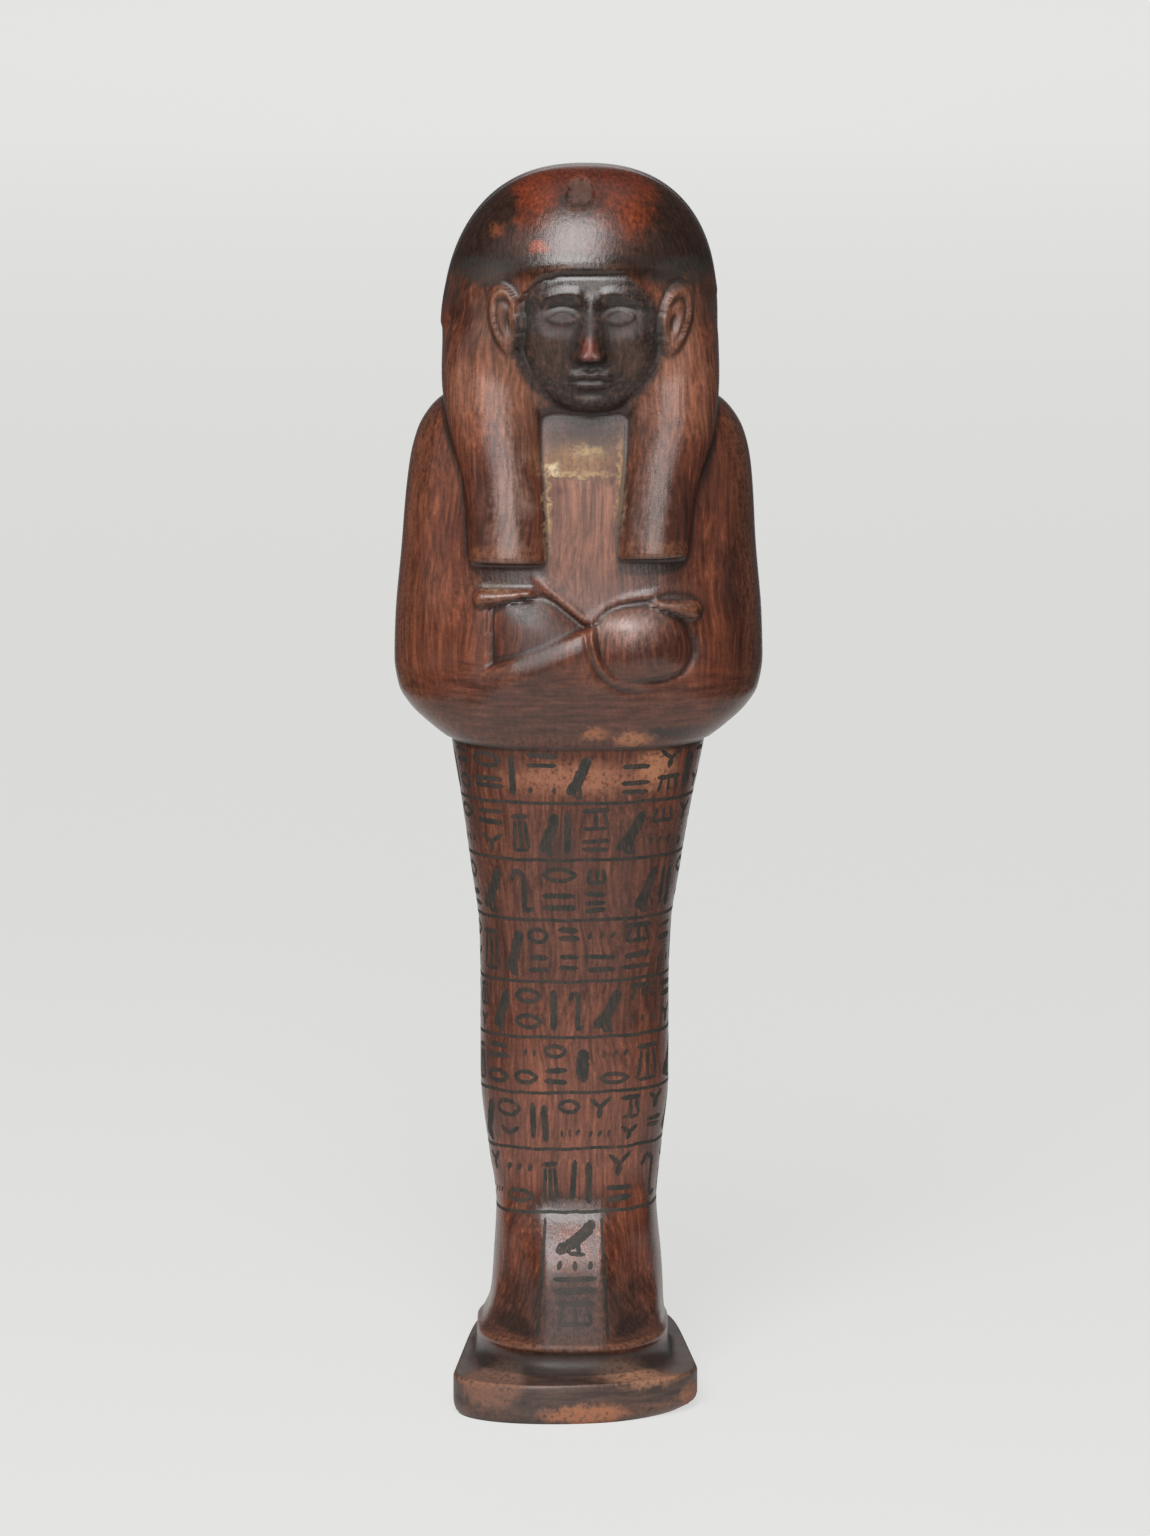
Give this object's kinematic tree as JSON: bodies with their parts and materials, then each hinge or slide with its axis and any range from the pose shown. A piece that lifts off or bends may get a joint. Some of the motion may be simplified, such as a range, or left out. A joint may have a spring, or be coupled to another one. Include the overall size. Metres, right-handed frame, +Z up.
{
  "type": "shabti",
  "caption": "Mummy-shaped funerary figure in a tripartite wig, hands crossed on the chest, feet on a thin bow-fronted plinth carved from the same block of wood.",
  "frame": {"origin": "centre of the underside of the plinth, on the surface the figure stands on", "axes": "+Z up the figure, its longest extent; the face and toes look along -Y; +X to the right of someone looking at the face"},
  "size_m": [0.0683, 0.0632, 0.2301],
  "materials": {
    "oiled_wood": "satin, old varnish and patina"
  },
  "bodies": {
    "root": {"shabti": "oiled_wood"}
  },
  "joints": []
}
